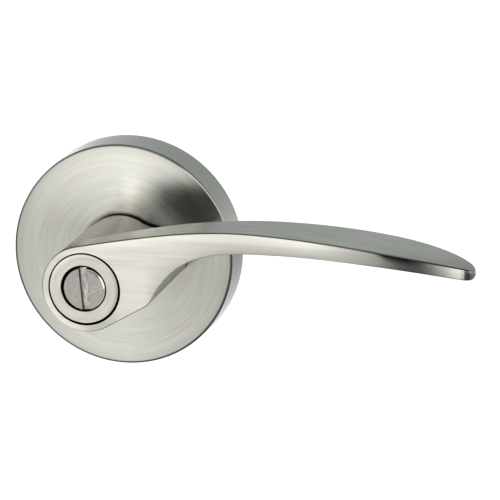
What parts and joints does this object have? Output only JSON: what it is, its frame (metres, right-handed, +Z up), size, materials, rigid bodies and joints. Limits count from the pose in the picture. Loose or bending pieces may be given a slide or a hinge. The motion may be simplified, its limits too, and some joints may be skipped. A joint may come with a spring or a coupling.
{
  "type": "door lever handle",
  "caption": "Privacy door lever, one side: round rose, arched wing lever, flat hub with a trim ring and a coin-slotted turn button, sprung back to level.",
  "frame": {"origin": "on the spindle axis at the door face, midway between the two mounting posts", "axes": "+X along the lever to its tip, -Y out of the door towards the user, +Y into the door, +Z up"},
  "size_m": [0.1413, 0.095, 0.067],
  "materials": {
    "satin_nickel": "satin nickel plate, finely brushed",
    "button_nickel": "turned, with cross scratches",
    "plated_steel": "zinc plated",
    "dark_steel": "blackened",
    "spring_steel": "oiled",
    "cast_zinc": "as cast",
    "nylon": "natural"
  },
  "bodies": {
    "base": {"rose": "satin_nickel", "return_spring": "spring_steel", "spring_cage": "plated_steel", "cage_screws": "plated_steel", "stop_pins": "dark_steel", "neck_bushing": "nylon", "thrust_washer": "nylon", "spring_washer": "spring_steel", "mounting_plate": "plated_steel", "mounting_posts": "plated_steel", "rose_clips": "spring_steel", "clip_rivets": "plated_steel"},
    "lever_set": {"lever": "satin_nickel", "trim_ring": "satin_nickel", "button_washer": "spring_steel", "lever_set_screw": "dark_steel", "drive_sleeve": "plated_steel", "spindle": "plated_steel", "drive_cam": "cast_zinc", "retaining_ring": "dark_steel"},
    "button_set": {"turn_button": "button_nickel", "button_clip": "dark_steel", "turn_bar": "plated_steel"}
  },
  "joints": [
    {"name": "lever_turn", "type": "hinge", "parent": "base", "child": "lever_set", "pos_m": [0, 0, 0], "axis": [0, 1, 0], "range_deg": [-50, 50], "stiffness_Nm_per_rad": 0.8, "springref_deg": -3.44, "deforming": ["return_spring"]},
    {"name": "button_turn", "type": "hinge", "parent": "lever_set", "child": "button_set", "pos_m": [0, 0, 0], "axis": [0, 1, 0], "range_deg": [0, 90]}
  ]
}
